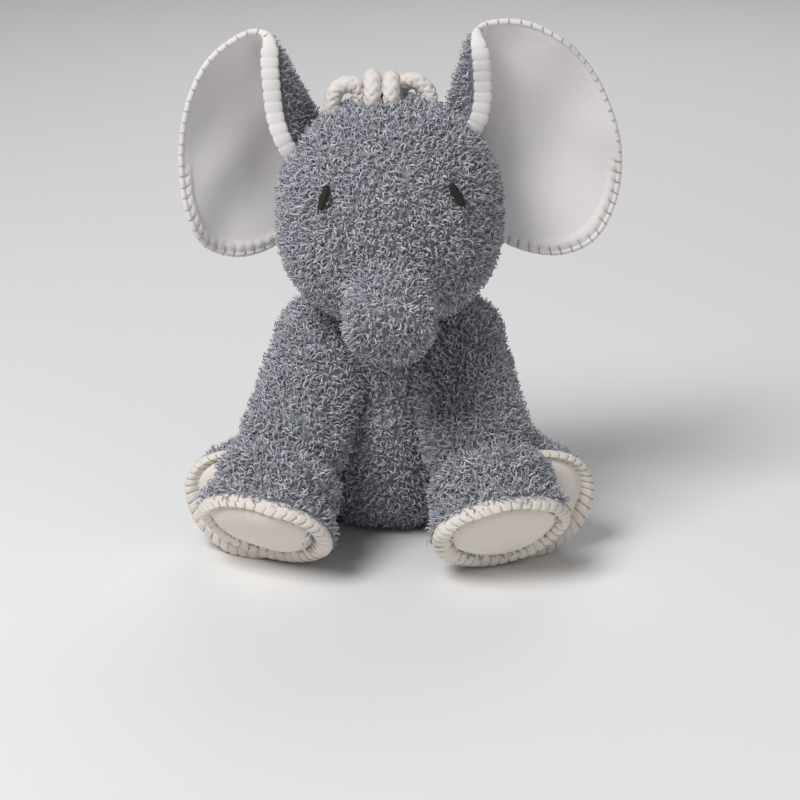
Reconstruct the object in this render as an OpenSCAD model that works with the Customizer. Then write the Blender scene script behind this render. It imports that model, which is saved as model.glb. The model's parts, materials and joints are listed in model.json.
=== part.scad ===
// Sitting plush elephant: stuffed body, stuffed head with a short trunk, two cupped ears,
// a crest of braided cord loops, four legs with padded soles, and a short tail.
// Millimetres, +Z up. The origin is on the floor, in the middle of the flat seat.
// The elephant faces -Y, so its left side is +X.

/* [Body] */
// Radius of the belly
belly_r = 60; // [56:1:62]
// Height of the belly's centre above the floor
belly_z = 46; // [44:1:50]
// Radius of the chest
chest_r = 47; // [45:1:48]
// Height of the chest's centre
chest_z = 98; // [96:1:100]
// Thickness of the plush fabric
skin = 2.5; // [1.5:0.5:3]

/* [Head] */
// Radius of the head
head_r = 61; // [58:1:62]
// Distance of the head's centre in front of the body's axis
head_front = 38; // [36:1:42]
// Height of the head's centre
head_z = 189; // [186:1:192]
// Radius of the neck's ball, which turns in the hollow on top of the body
neck_r = 30; // [28:1:30]
// Length of an embroidered eye
eye_l = 13; // [10:1:15]
// Width of an embroidered eye
eye_w = 3.4; // [2.5:0.1:4]

/* [Trunk] */
// Angle of the trunk below level
trunk_pitch = 29; // [27:1:32]
// Distance of the trunk's pivot from the head's centre
trunk_reach = 58; // [56:1:60]
// Length from the pivot to the centre of the trunk's round end
trunk_l = 22; // [18:1:26]
// Radius of the trunk's root
trunk_root_r = 22; // [20:1:22]
// Radius of the trunk's round end
trunk_tip_r = 21.5; // [19:0.5:22]

/* [Ears] */
// Thickness of each of an ear's two fabrics
ear_t = 2.2; // [1.5:0.1:3]
// Radius of the cup that an ear is bent to
ear_cup_r = 170; // [160:5:200]
// Forward turn of the left ear at rest
ear_turn_left = 2; // [0:1:6]
// Forward turn of the right ear at rest
ear_turn_right = 26; // [20:1:28]

/* [Front legs] */
// Angle of the left front leg below level
front_pitch_left = 37; // [36:1:39]
// Angle of the right front leg below level
front_pitch_right = 40; // [38:1:42]
// Outward splay of the left front leg
front_splay_left = 16; // [14:1:18]
// Outward splay of the right front leg
front_splay_right = 22; // [19:1:24]
// Length from the shoulder to the back of the sole
front_l = 106; // [104:1:108]
// Radius of the shoulder's ball
front_root_r = 23; // [22:1:23]
// Radius of a front leg at the ankle
front_ankle_r = 27; // [25:1:28]
// Radius of a front sole
front_sole_r = 38; // [35:1:39]

/* [Hind legs] */
// Angle of a hind leg below level
hind_pitch = 3; // [1:1:5]
// Outward splay of a hind leg
hind_splay = 19; // [16:1:22]
// Length from the hip to the back of the sole
hind_l = 80; // [76:1:84]
// Radius of the hip's ball
hind_root_r = 24; // [22:1:25]
// Radius of a hind leg at the ankle
hind_ankle_r = 25; // [23:1:26]
// Radius of a hind sole
hind_sole_r = 34; // [32:1:35]

/* [Soles] */
// Thickness of a sole's padded rim
sole_t = 5; // [4:0.5:6]
// Share of the sole's radius that its raised middle pad takes
pad_share = 0.7; // [0.6:0.05:0.75]
// Height of the raised middle pad
pad_h = 6; // [4:0.5:7]
// Number of radial stitches round a sole
sole_stitches = 30; // [20:1:36]

/* [Hair] */
// Diameter of the braided cord
cord_d = 9; // [7:0.5:10]

/* [Tail] */
// Length of the tail from its pivot to the centre of its tip
tail_l = 34; // [26:1:38]
// Radius of the tail
tail_r = 8; // [6:0.5:9]

/* [Hidden] */
$fn = 64;

LEFT = 1;
RIGHT = -1;
gap = 0.6;
leg_gap = 2;
ear_gap = 2;
// Length, width and inset of a blanket stitch on an ear's edge
stitch_l = 1.2;
stitch_w = 0.8;
stitch_in = 1.1;
// Spreads at which a hind leg's passage past the front leg and the belly is cut
pass_spreads = [7, 14];
belly_spreads = [0, 12, 24];
grey = "#7d8085";
fleece = "#e4e0df";
cream = "#e0d9d1";
thread = "#b7a79a";
fibre = "#f4f2ec";

head_c = [0, -head_front, head_z];
neck_c = [0, -14, 139];
neck_core_r = 12;
// Where the eyes are: sideways round the head, up from its middle, and how far they lean
eye_turn = 35;
eye_rise = 17;
eye_lean = 14;
trunk_dir = [0, -cos(trunk_pitch), -sin(trunk_pitch)];
trunk_c = head_c + trunk_reach * trunk_dir;

// Height of a leg's pivot at which the rim of its sole just meets the floor
function pivot_z(pitch, l, sole_r) =
    (l + sole_t / 2) * sin(pitch) + (sole_r - sole_t / 2) * cos(pitch) + sole_t / 2;

shoulder_x = 36;
shoulder_y = -26;
function front_pitch(side) = side == LEFT ? front_pitch_left : front_pitch_right;
function shoulder(side) =
    [side * shoulder_x, shoulder_y, pivot_z(front_pitch(side), front_l, front_sole_r)];
hip_x = 49;
hip_y = 4;
hip_z = pivot_z(hind_pitch, hind_l, hind_sole_r);
tail_c = [0, 60, 62];
tail_pitch = 30;
// Hollow for the tail's root, wide enough for the tail to lift
tail_room = 3;
// Clearance over the chest, in which the head nods and turns
head_room = 14;
// Where along a front leg, and how much wider than the leg, the body is dented for it
dent_at = 27;
dent_extra = 10;
// Lifts of the front leg at which its dents are centred
dent_swings = [6, 30];
// Length of a leg's upright edge behind its sole
sole_edge = 6;
bag_r = 26;
bag_h = 16;
bag_y = 10;

// Points of an arc about c, as [radius, height] for a turned profile
function arc(c, r, a0, a1, n) =
    [for (i = [0:n]) let (a = a0 + (a1 - a0) * i / n) [c[0] + r * cos(a), c[1] + r * sin(a)]];

// A closed smooth curve through the points p, with n steps from each point to the next
function smooth_loop(p, n) =
    [for (i = [0:len(p) - 1]) for (j = [0:n - 1])
        let (a = p[(i + len(p) - 1) % len(p)], b = p[i], c = p[(i + 1) % len(p)],
             d = p[(i + 2) % len(p)], t = j / n)
        0.5 * (2 * b + (c - a) * t + (2 * a - 5 * b + 4 * c - d) * t * t
               + (3 * b - a - 3 * c + d) * t * t * t)];

// Two balls, one on the other, joined by the cone that touches both
module pear(r1, r2, l, inset = 0) {
    tilt = asin((r1 - r2) / l);
    rotate_extrude()
        polygon(concat(arc([0, 0], r1 - inset, -90, tilt, 9), arc([0, l], r2 - inset, tilt, 90, 7)));
}

// Turns +Z to point down by pitch below level, splayed outward on the given side, then lifts it
module aim(pitch, splay, side, swing = 0) {
    rotate([-swing, 0, 0]) rotate([0, 0, side * splay]) rotate([90 + pitch, 0, 0]) children();
}

// ---- body ----

// A ball for the belly, cut flat for the seat, and a ball for the chest
module body_form(inset) {
    difference() {
        union() {
            translate([0, 0, belly_z]) sphere(belly_r - inset);
            translate([0, 0, chest_z]) sphere(chest_r - inset);
        }
        translate([-100, -100, inset - 200]) cube([200, 200, 200]);
    }
}

// The dents that a front leg presses into the body over its whole swing
module leg_dents(side, lining) {
    for (swing = dent_swings)
        place_front(side, swing) translate([0, 0, dent_at]) sphere(front_ankle_r + dent_extra + lining);
}

// Everything that is let into the body, which the fabric lines all over
module body_hollows(lining) {
    translate(neck_c) sphere(neck_r + gap + lining);
    translate(head_c) sphere(head_r + head_room + lining);
    for (side = [LEFT, RIGHT]) {
        translate(shoulder(side)) sphere(front_root_r + gap + lining);
        leg_dents(side, lining);
    }
    translate(tail_c) sphere(tail_r + tail_room + lining);
}

module body_core() {
    difference() {
        body_form(skin);
        body_hollows(skin);
    }
}

module bean_bag_form() {
    translate([0, bag_y, skin + 2])
        rotate_extrude()
            polygon(concat(arc([bag_r - bag_h / 2, bag_h / 2], bag_h / 2, -90, 90, 8),
                [[0, bag_h], [0, 0]]));
}

module body_skin() {
    color(grey) difference() {
        body_form(0);
        body_hollows(0);
        body_core();
    }
}

module body_stuffing() {
    color(fibre) difference() {
        body_core();
        bean_bag_form();
    }
}

module seat_bean_bag() {
    color(cream) bean_bag_form();
}

// ---- head ----

module neck_stuffing() {
    color(fibre) translate(neck_c) sphere(neck_core_r);
}

module head_form(inset) {
    translate(head_c) sphere(head_r - inset);
    translate(neck_c) sphere(neck_r - inset);
}

module eye_form(side) {
    // The top of each eye leans towards the middle of the face
    translate(head_c)
        rotate([0, 0, side * eye_turn]) rotate([-eye_rise, 0, 0])
            translate([0, -head_r, 0]) rotate([0, side * -eye_lean, 0])
                translate([0, 0, -eye_l / 2 + eye_w / 2])
                    pear(eye_w / 2, eye_w / 2 - 0.1, eye_l - eye_w);
}

module head_skin() {
    color(grey) difference() {
        head_form(0);
        head_form(skin);
        translate(trunk_c) sphere(trunk_root_r + gap);
    }
}

module head_stuffing() {
    color(fibre) difference() {
        head_form(skin);
        translate(neck_c) sphere(neck_core_r + gap);
        translate(trunk_c) sphere(trunk_root_r + gap);
    }
}

module eye(side) {
    color("#2d2c2a") eye_form(side);
}

// ---- hair: four standing loops of braided cord, sewn into the crown ----

hair_routes = [
    [[-30, -34, 242], [-30, -34, 247], [-29, -34, 251], [-26, -34, 254], [-22, -34, 255],
     [-18, -34, 254], [-16, -34, 251], [-15, -34, 246]],
    [[-9, -45, 247], [-9, -45, 252], [-9, -43, 256], [-9, -39, 259], [-9, -34, 259],
     [-9, -29, 257], [-9, -26, 253], [-9, -25, 246]],
    [[1, -45, 247], [1, -45, 252], [1, -43, 256], [1, -39, 258], [1, -34, 258],
     [1, -29, 256], [1, -26, 252], [1, -25, 247]],
    [[5, -18, 245], [6, -18, 250], [9, -19, 253], [13, -20, 254], [17, -21, 252],
     [20, -22, 249], [21, -23, 246], [21, -24, 242]]];

function unit(v) = v / norm(v);
function along(p, i) = unit(p[min(i + 1, len(p) - 1)] - p[max(i - 1, 0)]);

// A tube of diameter d along the points p; flat is a direction that p never runs in
module tube(p, d, flat, sides = 10) {
    n = len(p);
    rings = [for (i = [0:n - 1])
        let (t = along(p, i), u = unit(cross(t, flat)), v = cross(t, u))
        for (j = [0:sides - 1]) p[i] + d / 2 * (cos(360 * j / sides) * u + sin(360 * j / sides) * v)];
    walls = [for (i = [0:n - 2]) for (j = [0:sides - 1])
        let (k = (j + 1) % sides, a = i * sides) [a + j, a + k, a + sides + k, a + sides + j]];
    start = [for (j = [sides - 1:-1:0]) j];
    end = [for (j = [0:sides - 1]) (n - 1) * sides + j];
    polyhedron(rings, concat(walls, [start, end]));
}

module hair_loop(i) {
    flat = (i == 0 || i == 3) ? [0, 1, 0] : [1, 0, 0];
    color("#dad5d1") tube(hair_routes[i], cord_d, flat);
}

// ---- trunk ----

module trunk_form(inset) {
    translate(trunk_c) aim(trunk_pitch, 0, LEFT) pear(trunk_root_r, trunk_tip_r, trunk_l, inset);
}

module trunk_skin() {
    color(grey) difference() {
        trunk_form(0);
        trunk_form(skin);
    }
}

module trunk_stuffing() {
    color(fibre) trunk_form(skin);
}

// ---- ears ----

ear_hinge = [55, -12];
ear_mid = [72, 205];
ear_deep = -8;
// Outline of an ear from the front, as [distance from the middle of the head, height]
ear_outline = smooth_loop([[41, 222], [42, 246], [51, 272], [66, 284], [84, 281], [104, 265],
    [118, 240], [125, 208], [121, 180], [108, 163], [90, 157], [70, 160], [48, 172]], 4);

function ear_y(p) =
    ear_deep - ear_cup_r + sqrt(ear_cup_r * ear_cup_r - pow(norm(p - ear_mid), 2));

// Puts an ear drawn on the left side where it sits at rest, on either side
module place_ear(side) {
    turn = side == LEFT ? ear_turn_left : ear_turn_right;
    mirror([side == LEFT ? 0 : 1, 0, 0])
        translate([ear_hinge[0], ear_hinge[1], 0]) rotate([0, 0, -turn])
            translate([-ear_hinge[0], -ear_hinge[1], 0]) children();
}

module ear_layer(side, near, far) {
    difference() {
        place_ear(side) difference() {
            intersection() {
                rotate([90, 0, 0]) linear_extrude(height = 120, center = true) polygon(ear_outline);
                translate([ear_mid[0], ear_deep - ear_cup_r, ear_mid[1]]) sphere(ear_cup_r + far);
            }
            translate([ear_mid[0], ear_deep - ear_cup_r, ear_mid[1]]) sphere(ear_cup_r + near);
            translate(head_c) sphere(head_r + ear_gap);
        }
        translate(head_c) sphere(head_r + ear_gap);
    }
}

module ear_front(side) {
    color(fleece) ear_layer(side, -ear_t, 0);
}

module ear_back(side) {
    color(grey) ear_layer(side, 0, ear_t);
}

module ear_stitches(side) {
    n = len(ear_outline);
    // The sewn edge runs from the upper root, over the tip and round to the lower root
    first = 2;
    last = 46;
    color(thread) place_ear(side)
        for (i = [first:last]) {
            p = ear_outline[i];
            t = unit(ear_outline[(i + 1) % n] - ear_outline[(i + n - 1) % n]);
            out = [t[1], -t[0]];
            q = p - stitch_in * out;
            translate([q[0], ear_y(p), q[1]])
                rotate([0, -atan2(t[1], t[0]), 0]) cube([stitch_l, 2 * ear_t + 1, stitch_w], center = true);
        }
}

// ---- legs: each turned about its own axis, from the pivot's ball to the sole ----

function leg_profile(root_r, ankle_r, sole_r, l, inset) =
    concat(arc([0, 0], root_r - inset, -90, 20, 8),
        [[ankle_r - inset - 1, l * 0.4], [ankle_r - inset, l * 0.68], [ankle_r - inset + 2, l * 0.8],
         [sole_r - inset - 1, l - sole_edge], [sole_r - inset, l], [0, l]]);

module leg_form(root_r, ankle_r, sole_r, l, inset) {
    rotate_extrude() polygon(leg_profile(root_r, ankle_r, sole_r, l, inset));
}

module place_front(side, swing = 0) {
    splay = side == LEFT ? front_splay_left : front_splay_right;
    translate(shoulder(side)) aim(front_pitch(side), splay, side, swing) children();
}

module place_hind(side, spread = 0) {
    translate([side * hip_x, hip_y, hip_z]) aim(hind_pitch, hind_splay + spread, side) children();
}

module sole_form(sole_r, l) {
    translate([0, 0, l]) rotate_extrude()
        polygon(concat([[0, 0]], arc([sole_r - sole_t / 2, sole_t / 2], sole_t / 2, -90, 90, 6),
            [[0, sole_t]]));
}

module pad_form(sole_r, l) {
    pad_r = sole_r * pad_share;
    dome_r = (pad_r * pad_r + pad_h * pad_h) / (2 * pad_h);
    dome_angle = asin(pad_r / dome_r);
    translate([0, 0, l + sole_t]) rotate_extrude()
        polygon(concat([[0, 0]], arc([0, pad_h - dome_r], dome_r, 90 - dome_angle, 90, 7)));
}

module stitches_form(sole_r, l) {
    inner = sole_r * pad_share + 1;
    outer = sole_r - sole_t / 2;
    for (i = [0:sole_stitches - 1])
        rotate([0, 0, 360 * i / sole_stitches])
            translate([inner, -0.5, l + sole_t]) cube([outer - inner, 1, 0.8]);
}

// The room that the front leg takes beside a hind leg, with a little air round it
module front_leg_room(side) {
    place_front(side) {
        rotate_extrude()
            polygon(leg_profile(front_root_r, front_ankle_r, front_sole_r, front_l, -leg_gap));
        translate([0, 0, front_l - 2]) cylinder(r = front_sole_r + leg_gap, h = sole_t + 4);
    }
}

module front_leg_skin(side) {
    color(grey) place_front(side) difference() {
        leg_form(front_root_r, front_ankle_r, front_sole_r, front_l, 0);
        leg_form(front_root_r, front_ankle_r, front_sole_r, front_l, skin);
    }
}

module front_leg_stuffing(side) {
    color(fibre) place_front(side)
        leg_form(front_root_r, front_ankle_r, front_sole_r, front_l, skin);
}

module front_leg_sole(side) {
    color(cream) place_front(side) sole_form(front_sole_r, front_l);
}

module front_leg_sole_pad(side) {
    color(cream) place_front(side) pad_form(front_sole_r, front_l);
}

module front_leg_stitches(side) {
    color(thread) place_front(side) stitches_form(front_sole_r, front_l);
}

// Where the front leg passes as the hind leg beside it spreads by the given angle
module front_leg_pass(side, spread) {
    hip = [side * hip_x, hip_y, hip_z];
    translate(hip) rotate([0, 0, -side * spread]) translate(-hip)
        place_front(side) {
            cylinder(r = front_ankle_r + leg_gap, h = front_l * 0.85);
            translate([0, 0, front_l * 0.8])
                cylinder(r1 = front_ankle_r + 2 + leg_gap, r2 = front_sole_r + leg_gap,
                    h = front_l * 0.2 - sole_edge);
            translate([0, 0, front_l - sole_edge - 0.5])
                cylinder(r = front_sole_r + leg_gap, h = sole_edge + sole_t + 2);
        }
}

// Where the belly lies against the hind leg's root as that leg spreads by the given angle
module belly_pass(side, spread) {
    hip = [side * hip_x, hip_y, hip_z];
    translate(hip) rotate([0, 0, -side * spread]) translate(-hip)
        translate([0, 0, belly_z]) sphere(belly_r + gap);
}

module beside_front_leg(side) {
    difference() {
        place_hind(side) children();
        front_leg_room(side);
        for (spread = pass_spreads)
            front_leg_pass(side, spread);
        for (spread = belly_spreads)
            belly_pass(side, spread);
    }
}

module hind_leg_skin(side) {
    color(grey) beside_front_leg(side) difference() {
        leg_form(hind_root_r, hind_ankle_r, hind_sole_r, hind_l, 0);
        leg_form(hind_root_r, hind_ankle_r, hind_sole_r, hind_l, skin);
    }
}

module hind_leg_stuffing(side) {
    color(fibre) beside_front_leg(side)
        leg_form(hind_root_r, hind_ankle_r, hind_sole_r, hind_l, skin);
}

module hind_leg_sole(side) {
    color(cream) beside_front_leg(side) sole_form(hind_sole_r, hind_l);
}

module hind_leg_sole_pad(side) {
    color(cream) beside_front_leg(side) pad_form(hind_sole_r, hind_l);
}

module hind_leg_stitches(side) {
    color(thread) beside_front_leg(side) stitches_form(hind_sole_r, hind_l);
}

// ---- tail ----

module tail_form(inset) {
    translate(tail_c) rotate([180, 0, 0]) aim(-tail_pitch, 0, LEFT)
        pear(tail_r + 1, tail_r, tail_l, inset);
}

module tail_skin() {
    color(grey) difference() {
        tail_form(0);
        tail_form(2);
    }
}

module tail_stuffing() {
    color(fibre) tail_form(2);
}

body_skin();
body_stuffing();
seat_bean_bag();
neck_stuffing();
head_skin();
head_stuffing();
eye(LEFT);  // eye_left
eye(RIGHT);  // eye_right
hair_loop(0);  // hair_loop_1
hair_loop(1);  // hair_loop_2
hair_loop(2);  // hair_loop_3
hair_loop(3);  // hair_loop_4
trunk_skin();
trunk_stuffing();
ear_front(LEFT);  // ear_left_front
ear_back(LEFT);  // ear_left_back
ear_stitches(LEFT);  // ear_left_stitches
ear_front(RIGHT);  // ear_right_front
ear_back(RIGHT);  // ear_right_back
ear_stitches(RIGHT);  // ear_right_stitches
front_leg_skin(LEFT);  // front_leg_left_skin
front_leg_stuffing(LEFT);  // front_leg_left_stuffing
front_leg_sole(LEFT);  // front_leg_left_sole
front_leg_sole_pad(LEFT);  // front_leg_left_sole_pad
front_leg_stitches(LEFT);  // front_leg_left_stitches
front_leg_skin(RIGHT);  // front_leg_right_skin
front_leg_stuffing(RIGHT);  // front_leg_right_stuffing
front_leg_sole(RIGHT);  // front_leg_right_sole
front_leg_sole_pad(RIGHT);  // front_leg_right_sole_pad
front_leg_stitches(RIGHT);  // front_leg_right_stitches
hind_leg_skin(LEFT);  // hind_leg_left_skin
hind_leg_stuffing(LEFT);  // hind_leg_left_stuffing
hind_leg_sole(LEFT);  // hind_leg_left_sole
hind_leg_sole_pad(LEFT);  // hind_leg_left_sole_pad
hind_leg_stitches(LEFT);  // hind_leg_left_stitches
hind_leg_skin(RIGHT);  // hind_leg_right_skin
hind_leg_stuffing(RIGHT);  // hind_leg_right_stuffing
hind_leg_sole(RIGHT);  // hind_leg_right_sole
hind_leg_sole_pad(RIGHT);  // hind_leg_right_sole_pad
hind_leg_stitches(RIGHT);  // hind_leg_right_stitches
tail_skin();
tail_stuffing();
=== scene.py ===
"""Sitting plush elephant, with curly fleece, cupped ears, braided hair and padded soles."""
import json
import math
import random

import bmesh
import bpy
from bpy.props import FloatProperty, FloatVectorProperty, IntProperty, PointerProperty
from mathutils import Matrix, Vector, noise
from mathutils.kdtree import KDTree

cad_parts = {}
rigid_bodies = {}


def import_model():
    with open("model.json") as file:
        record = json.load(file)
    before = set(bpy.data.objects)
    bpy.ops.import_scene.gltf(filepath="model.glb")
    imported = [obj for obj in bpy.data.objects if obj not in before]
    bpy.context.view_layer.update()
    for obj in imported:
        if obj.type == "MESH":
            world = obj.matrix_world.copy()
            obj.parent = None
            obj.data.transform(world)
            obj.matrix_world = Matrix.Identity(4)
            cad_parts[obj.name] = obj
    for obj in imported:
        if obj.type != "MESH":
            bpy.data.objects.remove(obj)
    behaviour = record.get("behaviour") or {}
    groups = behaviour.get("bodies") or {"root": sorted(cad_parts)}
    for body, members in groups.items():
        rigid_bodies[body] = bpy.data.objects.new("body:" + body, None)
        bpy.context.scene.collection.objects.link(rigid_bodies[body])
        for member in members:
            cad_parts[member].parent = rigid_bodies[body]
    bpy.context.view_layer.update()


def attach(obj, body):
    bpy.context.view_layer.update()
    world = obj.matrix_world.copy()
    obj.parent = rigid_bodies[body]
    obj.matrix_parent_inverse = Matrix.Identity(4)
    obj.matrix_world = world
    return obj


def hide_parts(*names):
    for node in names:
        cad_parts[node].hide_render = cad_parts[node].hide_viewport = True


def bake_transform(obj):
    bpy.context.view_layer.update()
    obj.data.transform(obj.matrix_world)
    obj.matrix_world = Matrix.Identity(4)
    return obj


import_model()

bl_info = {
    "name": "Plush elephant",
    "version": (1, 0, 0),
    "blender": (4, 5, 0),
    "location": "View3D > Sidebar > Elephant",
    "description": "Sews a sitting plush elephant over its frame",
    "category": "Add Mesh",
}

MM = 0.001
LEFT, RIGHT = 1, -1
SIDE = {LEFT: "left", RIGHT: "right"}

HEAD = Vector((0, -38, 189))
TRUNK_WAY = Vector((0, -math.cos(math.radians(29)), -math.sin(math.radians(29))))
FRONT = {
    LEFT: {"at": Vector((36, -26, 96.15)), "pitch": 37, "splay": 16},
    RIGHT: {"at": Vector((-36, -26, 99.44)), "pitch": 40, "splay": 22},
}
HIND = {
    LEFT: {"at": Vector((49, 1, 38.27)), "pitch": 2, "splay": 21},
    RIGHT: {"at": Vector((-49, 1, 38.27)), "pitch": 2, "splay": 21},
}
EYE_DEPTH = 63.4   # from the middle of the head to an eye
EYE_ENDS = {LEFT: ((31.5, 214.5), (38, 203)), RIGHT: ((-31.5, 213.5), (-35.5, 201.5))}
EYES = {
    eye_side: [Vector((x, HEAD.y - math.sqrt(EYE_DEPTH ** 2 - x * x - (z - HEAD.z) ** 2), z))
               for x, z in eye_ends]
    for eye_side, eye_ends in EYE_ENDS.items()}
EYE_CLEAR = 5.0    # bare cloth kept round an eye
TAIL = Vector((0, 60, 62))
TAIL_WAY = Vector((0, math.cos(math.radians(30)), -math.sin(math.radians(30))))

CAMERA_AT = (0.0055, -1.1713, 0.5058)
CAMERA_TILT = math.radians(72)
CAMERA_LENS, CAMERA_SHIFT = 98.18, -0.12875
LAMPS = (  # name, place in metres, width in metres, power in watts
    ("key", (-0.9, -0.95, 1.75), 0.9, 35),
    ("fill", (1.2, -1.3, 0.9), 1.4, 4),
    ("back", (0.3, 1.4, 1.4), 1.2, 9),
)
LAMPS_AIM = Vector((0, -0.03, 0.14))
SKY = 0.15

HAIR = [
    [(-30, -34, 242), (-30, -34, 247), (-29, -34, 251), (-26, -34, 254), (-22, -34, 255),
     (-18, -34, 254), (-16, -34, 251), (-15, -34, 246)],
    [(-9, -45, 247), (-9, -45, 252), (-9, -43, 256), (-9, -39, 259), (-9, -34, 259),
     (-9, -29, 257), (-9, -26, 253), (-9, -25, 246)],
    [(1, -45, 247), (1, -45, 252), (1, -43, 256), (1, -39, 258), (1, -34, 258),
     (1, -29, 256), (1, -26, 252), (1, -25, 247)],
    [(5, -18, 245), (6, -18, 250), (9, -19, 253), (13, -20, 254), (17, -21, 252),
     (20, -22, 249), (21, -23, 246), (21, -24, 242)],
]


def colour(name, text, default):
    return FloatVectorProperty(
        name=name, description=text, default=default, subtype="COLOR", min=0, max=1)


def length(name, text, default):
    return FloatProperty(
        name=name, description=text, default=default * MM, unit="LENGTH", min=0)


class ElephantFleece(bpy.types.PropertyGroup):
    """Colours and curl sizes of the fleece."""
    dark: colour("Deep curls", "Colour of the lowest curls", (0.34, 0.342, 0.38))
    mid: colour("Curls", "Colour of most curls", (0.47, 0.473, 0.525))
    light: colour("Top curls", "Colour of the palest curls", (0.64, 0.645, 0.70))
    # Backing colour: the cloth under the curls, kept dark as painted shade for the deep gaps
    # between the curls.
    backing_and_gap_shade: colour("Backing", "Colour of the cloth under the curls", (0.17, 0.173, 0.19))
    white: colour("Ear fleece", "Colour of the ears' smooth fleece", (0.62, 0.605, 0.63))
    cream: colour("Sole fleece", "Colour of the soles", (0.48, 0.435, 0.41))
    curl: length("Curl height", "How far a curl stands up", 3.3)
    coil: length("Curl width", "Radius of a curl's coil", 1.25)
    strand: length("Strand", "Radius of a curl's strand", 0.5)
    density: FloatProperty(
        name="Curls", description="Curls on a square centimetre", default=47, min=1, max=90)
    seed: IntProperty(name="Seed", description="Seed of the scattered curls", default=7)


class ElephantTrim(bpy.types.PropertyGroup):
    """Sizes and colours of threads, cord and eyes."""
    thread: colour("Seam thread", "Colour of the blanket stitch", (0.50, 0.43, 0.38))
    eye: colour("Eye thread", "Colour of the eyes", (0.022, 0.021, 0.02))
    cord: colour("Cord", "Colour of the braided cord", (0.50, 0.49, 0.505))
    cord_width: length("Cord width", "Diameter of the braided cord", 9)
    thread_width: length("Thread width", "Diameter of the seam thread", 0.6)
    pitch: length("Stitch pitch", "Distance between stitches on an ear", 6)
    sole_stitches: IntProperty(
        name="Sole stitches", description="Stitches round a sole", default=38, min=8)


# ---- materials ----

def material(name, tone, rough=0.95, sheen=0.0, patches=None, bumps=()):
    """A cloth finish: a colour that drifts a little over the cloth, and layers of fine bumps."""
    m = bpy.data.materials.new(name)
    m.use_nodes = True
    n, links = m.node_tree.nodes, m.node_tree.links
    shader = n["Principled BSDF"]
    shader.inputs["Base Color"].default_value = (*tone, 1)
    shader.inputs["Roughness"].default_value = rough
    shader.inputs["Specular IOR Level"].default_value = 0.2
    if sheen:
        shader.inputs["Sheen Weight"].default_value = sheen
        shader.inputs["Sheen Roughness"].default_value = 0.6
    m.diffuse_color = (*tone, 1)
    if not patches and not bumps:
        return m
    place = n.new("ShaderNodeTexCoord")
    if patches:
        other, size = patches
        drift = n.new("ShaderNodeTexNoise")
        drift.inputs["Scale"].default_value = size
        drift.inputs["Detail"].default_value = 6
        links.new(place.outputs["Object"], drift.inputs["Vector"])
        ramp = n.new("ShaderNodeValToRGB")
        ramp.color_ramp.elements[0].color = (*other, 1)
        ramp.color_ramp.elements[0].position = 0.35
        ramp.color_ramp.elements[1].color = (*tone, 1)
        ramp.color_ramp.elements[1].position = 0.62
        links.new(drift.outputs["Fac"], ramp.inputs["Fac"])
        links.new(ramp.outputs["Color"], shader.inputs["Base Color"])
    last = None
    for size, depth, strength in bumps:
        grain = n.new("ShaderNodeTexNoise")
        grain.inputs["Scale"].default_value = size
        grain.inputs["Detail"].default_value = 4
        links.new(place.outputs["Object"], grain.inputs["Vector"])
        bump = n.new("ShaderNodeBump")
        bump.inputs["Distance"].default_value = depth * MM
        bump.inputs["Strength"].default_value = strength
        links.new(grain.outputs["Fac"], bump.inputs["Height"])
        if last:
            links.new(last.outputs["Normal"], bump.inputs["Normal"])
        last = bump
    if last:
        links.new(last.outputs["Normal"], shader.inputs["Normal"])
    return m


def finish_named(name):
    """The finish of that name, made once from the scene's settings."""
    if name in bpy.data.materials:
        return bpy.data.materials[name]
    f, t = bpy.context.scene.elephant_fleece, bpy.context.scene.elephant_trim
    made = {
        "curl_dark": lambda: material(name, f.dark, 0.95),
        "curl_mid": lambda: material(name, f.mid, 0.95),
        "curl_light": lambda: material(name, f.light, 0.95),
        # Plush skin under the curls: the dark backing colour, with darker random patches, is
        # painted shade for the gaps between curls.
        "grey_plush": lambda: material(
            name, f.backing_and_gap_shade, 1.0, 0, ([c * 0.6 for c in f.backing_and_gap_shade], 420), [(700, 1.2, 1.0)]),
        "white_fleece": lambda: material(
            name, f.white, 0.95, 0.15, ([c * 0.955 for c in f.white], 90),
            [(160, 1.2, 0.35), (1100, 0.35, 0.5)]),
        "cream_fleece": lambda: material(
            name, f.cream, 0.95, 0.15, ([c * 0.95 for c in f.cream], 120),
            [(220, 0.9, 0.35), (1200, 0.3, 0.5)]),
        "stitch_thread": lambda: material(name, t.thread, 0.8, 0, None, [(1800, 0.2, 0.5)]),
        "eye_thread": lambda: material(name, t.eye, 0.6, 0, None, [(2400, 0.1, 0.4)]),
        "braided_cord": lambda: material(
            name, t.cord, 0.85, 0.1, ([c * 0.86 for c in t.cord], 500), [(1500, 0.25, 0.6)]),
        "fibre_filling": lambda: material(name, (0.85, 0.84, 0.80), 1.0, 0, None, [(500, 1, 0.8)]),
    }
    return made[name]()


# ---- making and joining meshes ----

def link(name, bm, *finishes, smooth=True):
    """The bmesh as a new object of the scene, with these finishes."""
    bmesh.ops.recalc_face_normals(bm, faces=bm.faces)
    mesh = bpy.data.meshes.new(name)
    bm.to_mesh(mesh)
    bm.free()
    if smooth:
        mesh.polygons.foreach_set("use_smooth", [True] * len(mesh.polygons))
    for f in finishes:
        mesh.materials.append(finish_named(f))
    obj = bpy.data.objects.new(name, mesh)
    bpy.context.scene.collection.objects.link(obj)
    return obj


def settle(obj):
    """Applies every modifier of the object."""
    dg = bpy.context.evaluated_depsgraph_get()
    mesh = bpy.data.meshes.new_from_object(obj.evaluated_get(dg), depsgraph=dg)
    obj.modifiers.clear()
    old = obj.data
    obj.data = mesh
    mesh.name = obj.name
    bpy.data.meshes.remove(old)
    return obj


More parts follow.
